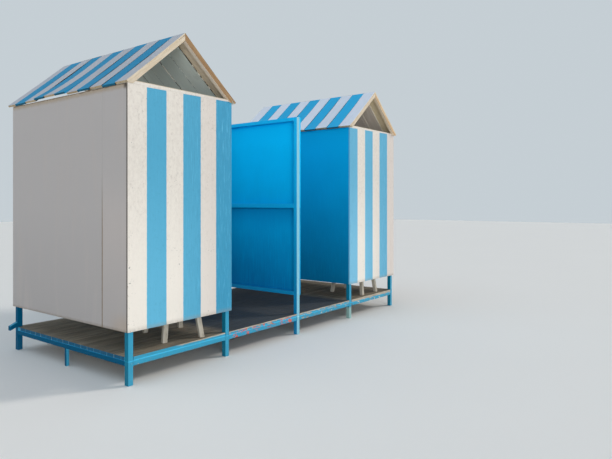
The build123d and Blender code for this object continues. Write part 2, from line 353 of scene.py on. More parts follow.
def striped_paint(name, colour, side, start, first_white):
    """White paint with blue stripes, up to a slightly rising line under the roof; painted shade darkens it
    towards the top and towards the right, most on the last stripe.
    """
    finish = Finish(name)
    place = finish.place()
    across = place.part("X") - start
    height = place.part("Z")
    edges = STRIPE_EDGES[side]
    top, rise = STRIPE_TOPS[side]
    wobble = (place.noise(9.0, 3.0, drawn=(1, 1, 3)) - 0.5) * 0.006
    along = across + wobble
    blue = 0.0 if first_white else 1.0
    for number, edge in enumerate(edges):
        step = along.above(edge - STRIPE_BLUR, edge + STRIPE_BLUR)
        blue = blue + step if (number % 2 == 0) == first_white else blue - step
    line = top + across * rise + wobble * 0.5
    blue = blue * (height - line).below(-0.001, 0.001)
    streaks = place.noise(120.0, 5.0, 0.7, drawn=(1, 1, 0.05))
    cloud = place.noise(2.2, 4.0, 0.6)
    daub = place.noise(46.0, 6.0, 0.7, drawn=(1, 1, 0.6))
    pit = place.noise(38.0, 5.0, 0.78, drawn=(1, 1, 0.7)).above(0.52, 0.68)
    # Painted shade towards the top, which also weights the mottling
    top_shade_and_mottle = 0.1 + 0.9 * height.above(WALL_FOOT + 0.3, WALL_TOP - 0.4)
    spots = place.noise(70.0, 2.0, 0.4, 0.6).above(0.68, 0.72)
    patch = place.noise(5.0, 3.0, 0.5).above(0.5, 0.64)
    low = height.below(WALL_FOOT, WALL_FOOT + 0.05)
    worn = height.above(WALL_TOP + 0.020, WALL_TOP + 0.027)
    clean = colours().white
    white = finish.coats(
        clean,
        (cloud * 0.5, shade(clean, 0.93)),
        (top_shade_and_mottle * 0.9, shade(clean, 0.82)),
        # Painted shade: the white darkens towards the right
        (across.above(0.5, 1.1, False) * 0.8, srgb(206, 195, 188)),
        (daub.above(0.42, 0.62) * top_shade_and_mottle * 0.35, srgb(200, 190, 180)),
        (pit * top_shade_and_mottle * 0.5, srgb(186, 176, 166)),
        (streaks.above(0.56, 0.72) * across.above(0.3, 0.7) * 0.35, srgb(176, 164, 154)),
        (spots * patch * 0.8, srgb(132, 126, 120)),
        (worn * 0.8, srgb(196, 176, 140)))
    deep = shade(colour, 0.40, 0.68, 0.74)
    # Painted shade: past the last edge the near hut's last blue stripe is painted deeper
    last = across.above(edges[-1] - 0.001, edges[-1] + 0.001)
    rub_and_light = 0.15 + 0.6 * across.above(0.3, 1.0)
    # Painted shade: the blue deepens towards the right and towards the top
    stripes = finish.coats(
        shade(colour, 1.05),
        (across.above(0.3, 1.1, False) * 0.85, deep),
        (top_shade_and_mottle * 0.75, deep),
        (last * 0.6, shade(deep, 0.35, 0.85, 0.93)),
        (cloud * 0.25, deep),
        (streaks.above(0.52, 0.72) * rub_and_light, shade(colour, 1.15)),
        (streaks.below(0.30, 0.46) * rub_and_light, shade(deep, 0.8)),
        (pit * 0.16, shade(deep, 0.6)))
    paint = finish.coats(white, (blue, stripes), (low * daub * 0.7, srgb(150, 138, 120)))
    finish.relief((daub, 0.0022), (streaks, 0.0010), (blue, 0.0006))
    return finish.close(paint, 0.52 + 0.16 * daub, 0.4)


def shade_graded_paint(name, colour, foot_green, foot_blue, rub_and_light=0.0):
    """Bright sheet paint with painted shade deepening it towards its foot, by a share for green and one for
    blue; rub_and_light adds painted light beside the front posts and a painted shadow under the middle
    rail.
    """
    finish = Finish(name)
    place = finish.place()
    height = place.part("Z")
    streaks = place.noise(70.0, 5.0, 0.65, drawn=(1, 1, 0.06))
    cloud = place.noise(1.9, 4.0, 0.6)
    scuff = place.noise(22.0, 5.0, 0.7, drawn=(1, 1, 0.4)).above(0.66, 0.74)
    # Painted shade: the paint deepens towards the foot
    rise = (height + (cloud - 0.5) * 0.5).above(WALL_FOOT, WALL_TOP - 0.25, False)
    deep = shade(colour, 1.0, foot_green, foot_blue)
    paint = finish.coats(deep, (rise, colour), (streaks.above(0.45, 0.85) * 0.25, shade(colour, 1.1)))
    if rub_and_light:
        # Painted light beside the front posts, then a painted shadow under the middle rail
        post_light = place.part("Y").below(SCREEN_FRONT + 0.06, SCREEN_FRONT + 0.20)
        rail_shadow = height.above(MIDDLE_RAIL_Z - 0.30, MIDDLE_RAIL_Z)
        rail_shadow = rail_shadow * height.below(MIDDLE_RAIL_Z, MIDDLE_RAIL_Z + 0.004)
        paint = finish.coats(paint, (post_light * (rub_and_light * 0.5), colour), (rail_shadow * 0.5, deep))
    low = height.below(WALL_FOOT, WALL_FOOT + 0.16)
    paint = finish.coats(paint, (scuff * low * 0.6, srgb(120, 132, 136)))
    finish.relief((streaks, 0.0006), (cloud, 0.0015))
    return finish.close(paint, 0.5 + 0.2 * streaks, 0.08)


def plain_paint(name, colour, streak, dirt):
    """Brushed paint on a smooth sheet, a little dirty at its top and bottom edge."""
    finish = Finish(name)
    place = finish.place()
    height = place.part("Z")
    streaks = place.noise(90.0, 5.0, 0.65, drawn=(1, 1, 0.06))
    cloud = place.noise(1.7, 5.0, 0.6)
    grain = place.noise(210.0, 3.0, 0.6, drawn=(1, 1, 0.12))
    edge = place.noise(24.0, 4.0, 0.6)
    low = height.below(WALL_FOOT, WALL_FOOT + 0.045)
    high = height.above(WALL_TOP - 0.05, WALL_TOP - 0.005)
    paint = finish.coats(
        colour,
        (cloud * streak, shade(colour, 0.80)),
        (streaks.above(0.45, 0.85) * streak, shade(colour, 1.12)),
        ((low + high).least(1.0) * edge.above(0.3, 0.75) * dirt, srgb(140, 122, 96)))
    finish.relief((streaks, 0.0007), (grain, 0.0005))
    return finish.close(paint, 0.46 + 0.2 * streaks, 0.42)


def seamed_paint(name, seam, front):
    """White side wall paint, darkened as painted shade, with the stain of its seam, dirt and painted shade
    under the eave, a painted shadow in its top front corner and a foot that darkens towards the bottom.
    """
    finish = Finish(name)
    place = finish.place()
    height = place.part("Z")
    depth = place.part("Y")
    streaks = place.noise(70.0, 5.0, 0.7, drawn=(1, 1, 0.05))
    cloud = place.noise(1.3, 5.0, 0.6)
    broad = place.noise(7.0, 3.0, 0.6, drawn=(1, 1, 0.12))
    rough = place.noise(30.0, 5.0, 0.6)
    uneven = height + (rough - 0.5) * 0.03
    fade = height.below(WALL_FOOT + 0.75, WALL_FOOT + 1.45)
    before_seam = depth.below(seam - 0.004, seam + 0.004)
    at_seam = (abs(depth - seam) + (rough - 0.5) * 0.006).below(0.002, 0.012)
    # Darker towards the foot
    foot = height.below(WALL_FOOT, WALL_FOOT + 1.0, False)
    splash = (height + (cloud - 0.5) * 0.2).below(WALL_FOOT + 0.03, WALL_FOOT + 0.18)
    splash = splash * (depth - front).below(0.05, 0.34)
    # Dirt under the eave, darkened further as painted shade, then a dark painted shadow line just under it
    eave_dirt_and_shade = uneven.above(WALL_TOP - 0.055, WALL_TOP - 0.020)
    eave_shadow_line = uneven.above(WALL_TOP - 0.014, WALL_TOP - 0.004)
    # Painted shadow in the top front corner, under the first roof board
    corner_shadow = height.above(WALL_TOP - 0.06, WALL_TOP - 0.02) * (depth - front).below(0.03, 0.07)
    low = uneven.below(WALL_FOOT + 0.002, WALL_FOOT + 0.03)
    shaded_white = colours().shaded_side_white
    white = finish.coats(
        shaded_white,
        (cloud * 0.35, shade(shaded_white, 0.93)),
        (before_seam * fade, shade(shaded_white, 1.12, 1.08, 1.05)),
        (foot * 0.8, shade(shaded_white, 0.88)),
        (broad.above(0.5, 0.7) * 0.5, shade(shaded_white, 1.03, 1.0, 0.97)),
        (streaks.above(0.5, 0.9) * 0.3, shade(shaded_white, 0.90)),
        (splash * 0.35, srgb(176, 150, 120)),
        (eave_dirt_and_shade * 0.6, srgb(164, 142, 112)),
        (eave_shadow_line * 0.75, srgb(104, 82, 56)),
        (corner_shadow * 0.9, srgb(58, 48, 38)),
        (low * 0.5, srgb(128, 114, 94)),
        (at_seam * fade * 0.8, srgb(120, 100, 72)))
    finish.relief((streaks, 0.0006), (rough, 0.0004))
    return finish.close(white, 0.48 + 0.14 * streaks, 0.3)


def steel_paint(name, colour, wear, lower=0.0, shine=0.28):
    """Brushed gloss paint on steel: wear, 0 to 1, bares primer and rust, and lower paints shade that
    deepens towards its foot; a painted highlight runs along the top arris of the rails.
    """
    finish = Finish(name)
    place = finish.place()
    height = place.part("Z")
    across = place.part("X")
    cloud = place.noise(3.0, 4.0, 0.6)
    sag = place.noise(60.0, 4.0, 0.6, drawn=(1, 1, 0.25))
    lumps = place.noise(150.0, 3.0, 0.6)
    foot = height.below(0.04, 0.22)
    passage = across.above(PASSAGE_FROM, PASSAGE_TO)
    left_passage = across.below(SCREEN_FROM, SCREEN_TO) * passage
    chips = place.noise(40.0, 6.0, 0.72, drawn=(0.45, 1, 1))
    chips = chips + (wear * (0.25 + 0.75 * passage) + foot * 0.2 * wear) * 0.13
    bare = chips.above(0.69, 0.72)
    halo = chips.above(0.65, 0.69) - bare
    # Painted highlight along the top arris of the rails
    arris_highlight = height.above(RAIL_TOP - 0.007, RAIL_TOP - 0.003) * height.below(RAIL_TOP, RAIL_TOP + 0.003)
    bleached = across.above(1.06, 1.09) * across.below(1.15, 1.18) * height.below(0.13, 0.16)
    paint = finish.coats(
        colour,
        (cloud * 0.5, shade(colour, 0.80)),
        (sag.above(0.5, 0.8) * 0.35, shade(colour, 1.25)))
    if lower:
        # Painted shade, deepening towards the foot
        foot_shade = height.below(DECK_HIGH.z, WALL_TOP - 0.2, False)
        paint = finish.coats(paint, (foot_shade * lower, shade(colour, 1.0, 0.42, 0.48)))
    paint = finish.coats(
        paint,
        (arris_highlight * 0.6, shade(colour, 1.8)),
        (bleached * 0.8, srgb(156, 186, 176)),
        (halo * 0.5, shade(colour, 0.55)),
        (foot * lumps.above(0.4, 0.7) * 0.12, srgb(120, 112, 92)))
    roughness = 0.4 + 0.28 * lumps
    layers = [(sag, 0.0012), (lumps, 0.0005)]
    if wear:
        kind = place.noise(18.0, 2.0)
        primer = finish.coats(
            srgb(214, 206, 190),
            (kind.above(0.46, 0.54), srgb(150, 128, 104)),
            (kind.above(0.60, 0.66), srgb(92, 66, 50)),
            (left_passage * 0.9, srgb(222, 84, 58)))
        paint = finish.coats(paint, (bare, primer))
        roughness = 0.38 + 0.28 * lumps + 0.3 * bare
        layers.append((1 - bare, 0.0006))
    finish.relief(*layers)
    return finish.close(paint, roughness, shine)


def timber(name, light, dark, grey=0.0, coarse=1.0, depth=0.001, passage_shade=0.0):
    """Sawn timber, its fibres along the first part of the grain attribute; passage_shade darkens the
    passages as painted shade.
    """
    finish = Finish(name)
    grain = finish.grain()
    fibre = grain.noise(210.0 * coarse, 6.0, 0.7, 0.3, drawn=(0.035, 1, 1))
    figure = grain.noise(26.0 * coarse, 5.0, 0.6, 1.4, drawn=(0.09, 1, 1))
    cloud = grain.noise(5.0, 4.0, 0.6)
    split = grain.noise(90.0, 2.0, 0.5, drawn=(0.02, 1, 1)).above(0.70, 0.74)
    wood = finish.coats(
        light,
        (figure.above(0.32, 0.7), dark),
        (fibre * 0.55, shade(dark, 0.62)),
        (finish.tone() * 0.5, shade(dark, 0.7)),
        (cloud * grey, srgb(112, 112, 108)),
        (split * 0.85, shade(dark, 0.22)))
    # Painted shade over the passage deck
    if passage_shade:
        middle = abs(finish.place().part("X")).below(-PASSAGE_TO, -PASSAGE_FROM)
        wood = finish.coats(wood, (middle * passage_shade, srgb(48, 56, 64)))
    finish.relief((figure, depth), (fibre, depth * 0.7), (1 - split, depth))
    return finish.close(wood, 0.72 + 0.16 * fibre, 0.3)


def painted_board(name, colour, under, show):
    """Paint on a sawn board, thin along the grain so that a share of the wood under it shows."""
    finish = Finish(name)
    grain = finish.grain()
    fibre = grain.noise(190.0, 6.0, 0.7, 0.3, drawn=(0.035, 1, 1))
    cloud = grain.noise(4.0, 4.0, 0.6)
    scuff = grain.noise(42.0, 6.0, 0.72, drawn=(0.12, 1, 1))
    downhill = 0.06 * grain.part("X").above(0.6, 0.85)
    bare = (scuff + downhill).above(0.74 - 0.12 * show, 0.80 - 0.12 * show)
    streak = grain.noise(60.0, 4.0, 0.6, drawn=(0.06, 1, 1))
    paint = finish.coats(
        colour,
        (cloud * 0.45, shade(colour, 0.80)),
        (finish.tone() * 0.35, shade(colour, 0.78)),
        (streak.above(0.5, 0.75) * 0.5, shade(colour, 1.12, 1.04, 1.0)),
        (streak.below(0.25, 0.48) * 0.5, shade(colour, 0.72, 0.82, 0.80)),
        (fibre.above(0.45, 0.8) * 0.32, shade(colour, 1.22)),
        (bare * 0.8, under))
    finish.relief((fibre, 0.0011), (1 - bare, 0.0004))
    return finish.close(paint, 0.6 + 0.2 * fibre, 0.25)


def lit_underside_wood(name, light, dark):
    """Pale unpainted underside of the roof boards, lightened as painted light for the light thrown up under
    the roof.
    """
    finish = Finish(name)
    grain = finish.grain()
    fibre = grain.noise(150.0, 5.0, 0.7, 0.3, drawn=(0.04, 1, 1))
    figure = grain.noise(18.0, 4.0, 0.6, 1.2, drawn=(0.1, 1, 1))
    stain = grain.noise(7.0, 4.0, 0.6).above(0.58, 0.7)
    wood = finish.coats(
        light,
        (figure.above(0.3, 0.7) * 0.7, dark),
        (fibre * 0.25, shade(dark, 0.7)),
        (finish.tone() * 0.3, dark),
        (stain * 0.35, shade(dark, 0.72)))
    finish.relief((figure, 0.001), (fibre, 0.0008))
    return finish.close(wood, 0.8, 0.2)


def joint_wood(name, least):
    """Sides of the roof boards in the joints: dark bare wood with pale painted glints where noise passes
    least, for light seen through the gaps.
    """
    finish = Finish(name)
    grain = finish.grain()
    fibre = grain.noise(160.0, 4.0, 0.7, drawn=(0.05, 1, 1))
    # Painted light: pale glints stand in for light through the gaps
    painted_glints = grain.noise(11.0, 4.0, 0.7, drawn=(1, 0.3, 0.3)).above(least, least + 0.03)
    wood = finish.coats(srgb(52, 42, 34), (fibre, srgb(26, 22, 20)), (painted_glints * 0.9, srgb(226, 218, 200)))
    finish.relief((fibre, 0.001))
    return finish.close(wood, 0.8, 0.2)


def cream_wood(name):
    """Cream paint worn thin on the left rakes."""
    return timber(name, colours().cream, srgb(212, 191, 160), 0.1)


def tan_wood(name):
    """Varnish gone tan and orange on the right rakes."""
    return timber(name, srgb(178, 146, 106), srgb(150, 112, 72), 0.12)


def edge_paint(name, colour, timber_light, timber_dark):
    """Deck edge: blue paint, worn along its top, chipped in the passages and mostly gone at the far hut,
    with a painted highlight along its lower arris.
    """
    finish = Finish(name)
    place = finish.place()
    across = place.part("X")
    height = place.part("Z")
    grain = place.noise(180.0, 6.0, 0.7, 0.3, drawn=(0.04, 1, 1))
    scuff = place.noise(26.0, 6.0, 0.72, drawn=(0.35, 1, 1))
    chips = place.noise(44.0, 5.0, 0.7, drawn=(0.5, 1, 1))
    smear = place.noise(6.0, 4.0, 0.6)
    top = (height + (scuff - 0.5) * 0.012).above(DECK_HIGH.z - 0.012, DECK_HIGH.z - 0.008)
    near = across.below(NEAR_STOOL_FROM, NEAR_STOOL_TO)
    far = (across + (smear - 0.5) * 0.3).above(FAR_HUT_FROM, FAR_HUT_TO)
    passage = across.above(PASSAGE_FROM, PASSAGE_TO)
    gone = (top * (1 - near)).most((chips + passage * 0.09 - near * 0.05).above(0.60, 0.63))
    gone = gone.most(far * scuff.below(0.58, 0.70) * height.above(RAIL_TOP, RAIL_TOP + 0.003))
    red = place.noise(9.0, 3.0).above(0.50, 0.54) * passage * across.below(-0.1, 0.0) * (1 - top)
    wood = finish.coats(timber_light, (grain.above(0.3, 0.7), timber_dark), (red, srgb(214, 84, 58)))
    # Painted highlight along the lower arris
    lower_arris_highlight = height.below(DECK_LOW.z + 0.004, DECK_LOW.z + 0.008)
    paint = finish.coats(
        colour,
        (smear * 0.5, shade(colour, 0.75)),
        (lower_arris_highlight, shade(colour, 1.6)),
        (gone, wood))
    finish.relief((grain, 0.0016), (1 - gone, 0.0004))
    return finish.close(paint, 0.6 + 0.15 * grain, 0.35)


def rusted(name):
    """Bare fixings, brown with rust over dull zinc."""
    finish = Finish(name)
    patch = finish.place().noise(90.0, 4.0, 0.6)
    rust = patch.above(0.42, 0.62)
    colour = finish.coats(srgb(120, 118, 112), (rust, srgb(98, 58, 36)))
    finish.relief((patch, 0.0004))
    return finish.close(colour, 0.5 + 0.35 * rust, metallic=0.75 - 0.6 * rust)


def floor_finish(name):
    """Pale studio floor, faintly mottled."""
    finish = Finish(name)
    mottle = finish.place().noise(0.6, 3.0, 0.5)
    colour = finish.coats(srgb(242, 240, 237), (mottle * 0.25, srgb(234, 232, 229)))
    return finish.close(colour, 0.85, 0.2)


def slope_lie(node, word):
    """Ridge point, downhill and outward directions and length of one roof slope, read from its solid."""
    low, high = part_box(node)
    hand = HANDS[word]
    ridge = Vector((low.x if hand > 0 else high.x, 0, high.z))
    verts = [vert.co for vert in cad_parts[node].data.vertices]
    tip = max(verts, key=lambda co: co.x * hand)
    run = Vector((tip.x - ridge.x, 0, tip.z - ridge.z))
    down = run.normalized()
    return ridge, down, Vector((-down.z * hand, 0, down.x * hand)), run.length


def x_places(*nodes):
    """Where the faces of some nodes stand along X, from left to right."""
    return sorted({round(vert.co.x, 4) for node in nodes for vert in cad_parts[node].data.vertices})


def merged_copy(node):
    """A copy of a node's solid with whole faces instead of loose triangles."""
    bm = bmesh.new()
    bm.from_mesh(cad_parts[node].data)
    bmesh.ops.remove_doubles(bm, verts=bm.verts, dist=1e-5)
    bmesh.ops.dissolve_limit(bm, angle_limit=radians(1), verts=bm.verts, edges=bm.edges)
    return bm


def ease(bm, edges, width, segments=2):
    """Rounds some edges and hands back the points of their faces."""
    made = bmesh.ops.bevel(bm, geom=edges, offset=width, offset_type="OFFSET", affect="EDGES",
                           segments=segments, profile=0.5, material=-1, clamp_overlap=True)
    return made["verts"]


def eased_copy(node, width, segments=2):
    """A copy of a node's solid with every edge rounded."""
    bm = merged_copy(node)
    ease(bm, bm.edges[:], width, segments)
    return bm


def piece(bm, name, finishes, replaced=(), smooth=False):
    """Turns a mesh into a named piece that rides on the hut."""
    mesh = bpy.data.meshes.new(name)
    bmesh.ops.recalc_face_normals(bm, faces=bm.faces)
    for face in bm.faces:
        face.smooth = smooth
    bm.to_mesh(mesh)
    bm.free()
    for finish in finishes:
        mesh.materials.append(finish)
    obj = bpy.data.objects.new(name, mesh)
    bpy.context.scene.collection.objects.link(obj)
    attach(obj, "root")
    if replaced:
        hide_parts(*replaced)


def scatter(rng, reach):
    """A random offset of up to reach each way."""
    return Vector([rng.uniform(-reach, reach) for _ in range(3)])


def grain_layers(bm):
    """The point layers that timber finishes read."""
    grain = bm.verts.layers.float_vector.get("grain") or bm.verts.layers.float_vector.new("grain")
    tone = bm.verts.layers.float.get("tone") or bm.verts.layers.float.new("tone")
    return grain, tone


def plank(bm, low, high, cuts, rng, bend):
    """Adds a board between two corners, its grain along X, with cuts along it so that it can bend."""
    grain, tone = grain_layers(bm)
    size = Vector(high) - Vector(low)
    middle = (Vector(high) + Vector(low)) / 2
    made = bmesh.ops.create_cube(bm, size=1.0, matrix=Matrix.LocRotScale(middle, None, size))
    edges = list({edge for vert in made["verts"] for edge in vert.link_edges})
    verts = set(ease(bm, edges, sizes().timber_corner))
    for number in range(1, cuts):
        x = low[0] + size.x * number / cuts
        faces = {face for vert in verts for face in vert.link_faces}
        geom = list(verts) + list({edge for face in faces for edge in face.edges}) + list(faces)
        cut = bmesh.ops.bisect_plane(bm, geom=geom, dist=1e-6, plane_co=(x, 0, 0), plane_no=(1, 0, 0))
        verts |= {item for item in cut["geom_cut"] if isinstance(item, bmesh.types.BMVert)}
    shift = scatter(rng, GRAIN_REACH)
    board_tone = rng.random()
    for vert in verts:
        vert[grain] = vert.co - Vector(low) + shift
        vert[tone] = board_tone
        vert.co = bend(vert.co)
    return verts


def follow_grain(bm, along, tone_value, shift):
    """Writes the grain of a solid whose fibres run along one direction."""
    grain, tone = grain_layers(bm)
    side = along.cross(Vector((0, 1, 0)))
    side = side.normalized() if side.length > 0.1 else Vector((1, 0, 0))
    third = along.cross(side)
    for vert in bm.verts:
        vert[grain] = Vector((vert.co.dot(along), vert.co.dot(side), vert.co.dot(third))) + shift
        vert[tone] = tone_value


class HUT_OT_tubes(bpy.types.Operator):
    """Round the corners of the steel tubes and paint them"""

    bl_idname = "hut.tubes"
    bl_label = "Steel Tubes"

    def execute(self, context):
        blue = colours().steel_blue
        posts = steel_paint("blue_posts", blue, 0.3)
        rails = steel_paint("blue_rails", blue, 1.0)
        # The screen frame takes the same painted shade towards its foot as the screen
        screen_blue = steel_paint("blue_screen_frame", shade(colours().sheet_blue, 0.95), 0.0, 1.0, 0.3)
        # Lit and shaded copies of the paint: painted shade for faces turned from the light, painted light
        # for the screen posts' fronts
        shaded = steel_paint("shaded_posts", srgb(12, 116, 144), 0.2, 0.0, 0.14)
        shaded_base = steel_paint("shaded_base", srgb(0, 84, 118), 0.3, 0.0, 0.05)
        lit_front = steel_paint("lit_post_front", srgb(134, 196, 214), 0.0, 0.0, 0.3)
        for node in STEEL_NODES:
            bm = eased_copy(node, sizes().tube_corner, 3)
            screen = node.startswith("screen")
            base = node.startswith("base")
            for face in bm.faces:
                face.material_index = self.lit_or_shaded(face, screen)
            finish = screen_blue if screen else rails if base else posts
            side = lit_front if screen else shaded_base if base else shaded
            piece(bm, node + "_tube", [finish, side, shaded_base], [node])
        return {"FINISHED"}

    def lit_or_shaded(self, face, screen):
        """Finish of a face: 0 plain; 1 painted light on the screen posts' front faces, painted shade on the
        other steel's -X faces; 2 deepest painted shade on -X and front faces behind the walls.
        """
        normal = face.normal
        depth = face.calc_center_median().y
        if screen:
            return 1 if normal.y < -FACING and depth < SCREEN_FRONT + SCREEN_POST_REACH else 0
        if depth > SHADE_BEHIND_Y and min(normal.x, normal.y) < -FACING:
            return 2
        return 1 if normal.x < -FACING else 0


class HUT_OT_welds(bpy.types.Operator):
    """Lay weld beads where the rails meet the posts"""

    bl_idname = "hut.welds"
    bl_label = "Weld Beads"

    def execute(self, context):
        finish = steel_paint("blue_welds", shade(colours().steel_blue, 0.85), 0.6)
        bm = bmesh.new()
        rng = random.Random(5)
        for node in ("base_front_rail", "base_back_rail"):
            low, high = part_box(node)
            outer = low.y if node == "base_front_rail" else high.y
            for x in x_places(node):
                start = Vector((x, outer, low.z + WELD_INSET))
                self.bead(bm, rng, start, Vector((x, outer, high.z - WELD_INSET)))
        piece(bm, "rail_welds", [finish], smooth=True)
        return {"FINISHED"}

    def bead(self, bm, rng, start, end):
        """One bead of overlapping drops from start to end."""
        run = end - start
        steps = max(3, int(run.length / WELD_STEP))
        for number in range(steps + 1):
            middle = start + run * number / steps + scatter(rng, 1) * WELD_STRAY
            scale = WELD_DROP * rng.uniform(0.8, 1.15)
            place = Matrix.LocRotScale(middle, None, scale)
            bmesh.ops.create_icosphere(bm, subdivisions=2, radius=1.0, matrix=place)


class HUT_OT_sheets(bpy.types.Operator):
    """Ease the edges of the wall sheets and paint them"""

    bl_idname = "hut.sheets"
    bl_label = "Wall Sheets"

    def execute(self, context):
        near, far = colours().stripe_blue, colours().far_stripe_blue
        left_stripes = striped_paint("left_stripes", near, "left", FRONT_LOW.x, True)
        right_stripes = striped_paint("right_stripes", far, "right", RIGHT_FRONT_START, False)
        # The back walls take the white darkened as painted shade
        white = plain_paint("white_sheets", colours().shaded_side_white, 0.25, 0.5)
        # The screen sheet, with painted light by its front post and a painted shadow under its middle rail
        bright = shade_graded_paint("blue_screen", colours().sheet_blue, 0.29, 0.39, 0.5)
        # The inner and passage walls take a deeper blue as painted shade, for the screen's shade they stand
        # in
        blue = shade_graded_paint("shaded_blue_sheets", shade(colours().sheet_blue, 0.0, 0.66, 0.71), 0.40, 0.42)
        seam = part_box("left_outer_wall_front_sheet")[1].y + SEAM_GAP / 2
        seamed = seamed_paint("white_side_sheets", seam, FRONT_LOW.y)
        ends = plain_paint("sheet_ends", srgb(92, 84, 76), 0.4, 0.3)
        self.sheet("left_front_wall", left_stripes, "striped_sheet", ends)
        self.sheet("right_front_wall", right_stripes, "striped_sheet")
        for side in SIDES:
            self.sheet(side + "_back_wall", white, "white_sheet")
            self.sheet(side + "_outer_wall_front_sheet", seamed, "white_sheet")
            self.sheet(side + "_outer_wall_rear_sheet", seamed, "white_sheet")
            self.sheet(side + "_inner_wall", blue, "blue_sheet")
            self.sheet(side + "_passage_back_wall", blue, "blue_sheet")
        self.sheet("screen_sheet", bright, "blue_sheet")
        return {"FINISHED"}

    def sheet(self, node, finish, slot, ends=None):
        """One wall sheet, its left end in a finish of its own where ends gives one."""
        bm = eased_copy(node, sizes().sheet_corner)
        for face in bm.faces:
            face.material_index = 1 if ends and face.normal.x < -SHEET_FACING else 0
        piece(bm, node + "_sheet", [finish, ends] if ends else [finish], [node])


class HUT_OT_roof(bpy.types.Operator):
    """Lay the roof boards from the ridge to the eaves, white and blue in turn"""

    bl_idname = "hut.roof"
    bl_label = "Roof Boards"

    def execute(self, context):
        paints = colours()
        grey = srgb(120, 116, 108)
        near = [painted_board("white_roof_boards", paints.roof_white, srgb(150, 140, 124), 0.5),
                painted_board("near_blue_boards", paints.roof_blue, grey, 0.25),
                lit_underside_wood("near_undersides", paints.underside, srgb(212, 218, 206))]
        far = [painted_board("far_white_boards", paints.far_roof_white, srgb(160, 152, 140), 0.4),
               painted_board("far_blue_boards", paints.far_roof_blue, grey, 0.2),
               lit_underside_wood("far_undersides", srgb(230, 214, 196), srgb(208, 188, 168))]
        ends = [timber("white_board_ends", srgb(226, 206, 172), srgb(176, 148, 112), 0.2, 2.0, 0.0014),
                painted_board("blue_board_ends", srgb(6, 96, 124), srgb(70, 80, 76), 0.2)]
        dark = joint_wood("dark_board_joints", 0.72)
        # Lighter still on each front board's underside, as painted light
        outer_front = lit_underside_wood("front_undersides", srgb(213, 194, 165), srgb(193, 171, 139))
        inner_front = lit_underside_wood("inner_front_undersides", srgb(244, 224, 195), srgb(221, 197, 164))
        far_front = lit_underside_wood("far_front_undersides", srgb(252, 232, 194), srgb(240, 212, 168))
        rim_white = timber("rim_white", srgb(238, 226, 204), srgb(222, 200, 166), 0.05, 1.0, 0.0014)
        self.slope("left", "left", [*near, dark, *ends, cream_wood("rim_cream"), outer_front])
        self.slope("left", "right", [*near, joint_wood("near_board_joints", 0.50), *ends,
                                     tan_wood("rim_tan"), inner_front])
        self.slope("right", "left", [*far, dark, *ends, cream_wood("rim_pale_cream"), far_front])
        self.slope("right", "right", [*far, joint_wood("glinting_board_joints", 0.34), *ends,
                                      rim_white, far_front])
        return {"FINISHED"}

    def slope(self, side, word, finishes):
        """All boards of one slope, trimmed at the ridge."""
        node = side + "_roof_" + word + "_slope"
        rng = random.Random(node)
        low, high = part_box(node)
        ridge, down, up, length = slope_lie(node, word)
        hand = HANDS[word]
        turn = Matrix((down, Vector((0, hand, 0)), up)).transposed().to_4x4()
        place = Matrix.Translation(ridge) @ turn
        bm = bmesh.new()
        grain_layers(bm)
        joints, bows, lifts = ROOF_BOARDS[node]
        joints = (0.0, *joints, high.y - low.y)
        bows = (0, *bows, 0)
        spare = sizes().roof_gap / 2
        before = 0
        for number, lift in enumerate(lifts):
            step, before = lift - before, lift
            shorter = rng.uniform(*(BLUE_SHORT if number % 2 else WHITE_SHORT))
            # The front board of a right slope runs to the very end of the eave
            if number == 0 and word == "right":
                shorter = 0.0
            first = low.y + joints[number] + (spare if number else 0.0)
            last = low.y + joints[number + 1] - (spare if number < len(lifts) - 1 else 0.0)
            verts = self.board(bm, rng, hand, (first, last), bows[number:number + 2], length - shorter,
                               lift / PER_METRE, number, step > OPEN_STEP)
            bmesh.ops.transform(bm, matrix=place, verts=list(verts))
        bmesh.ops.bisect_plane(
            bm, geom=bm.verts[:] + bm.edges[:] + bm.faces[:], dist=1e-6,
            plane_co=(ridge.x + hand * RIDGE_GAP / 2, 0, 0), plane_no=(-hand, 0, 0), clear_outer=True)
        rim = [edge for edge in bm.edges if edge.is_boundary]
        bmesh.ops.holes_fill(bm, edges=rim, sides=0)
        piece(bm, node + "_boards", finishes, [node])

    def board(self, bm, rng, hand, ends, bows, length, lift, number, painted):
        """One board laid flat along X, bowed and bent up at its lower end, painted or bare at its front."""
        cup = rng.uniform(-CUPPING, CUPPING)
        near, far = sorted(hand * end for end in ends)
        middle, half = (near + far) / 2, (far - near) / 2
        waves = [(rng.uniform(0, 2 * pi), rng.uniform(*RIPPLE_RATES)) for _ in ends]
        before = set(bm.faces)

        def bend(co):
            part = min(1.0, max(0.0, co.x / length))
            across = co.y - middle
            sag = (SAG_OF_LIFT * lift + SAG) * sin(pi * part)
            rise = lift * part ** 4 - sag + cup * (across / half) ** 2
            rear = across * hand > 0
            bow = bows[rear] / PER_METRE / 2 * (1 if rear else -1)
            phase, rate = waves[rear]
            swing = sin(pi * part) * (1 - RIPPLE + RIPPLE * sin(co.x * rate + phase))
            return Vector((co.x, co.y - bow * swing * hand, co.z + rise))

        thick = sizes().roof_board_thickness
        verts = plank(bm, (-RIDGE_SPARE, near, -thick), (length, far, 0.0), ROOF_CUTS, rng, bend)
        for face in [face for face in bm.faces if face not in before]:
            face.normal_update()
            normal = face.normal
            if normal.z < -BOARD_FACING:
                face.material_index = UNDERSIDE if number else FIRST_UNDERSIDE
            elif normal.x > BOARD_FACING:
                face.material_index = BLUE_END if number % 2 else WHITE_END
            elif number == 0 and normal.y * hand < -RIM_FACING:
                face.material_index = RIM
            elif abs(normal.y) > BOARD_FACING and not (painted and normal.y * hand < 0):
                face.material_index = JOINT
            else:
                face.material_index = BLUE_TOP if number % 2 else WHITE_TOP
        return verts


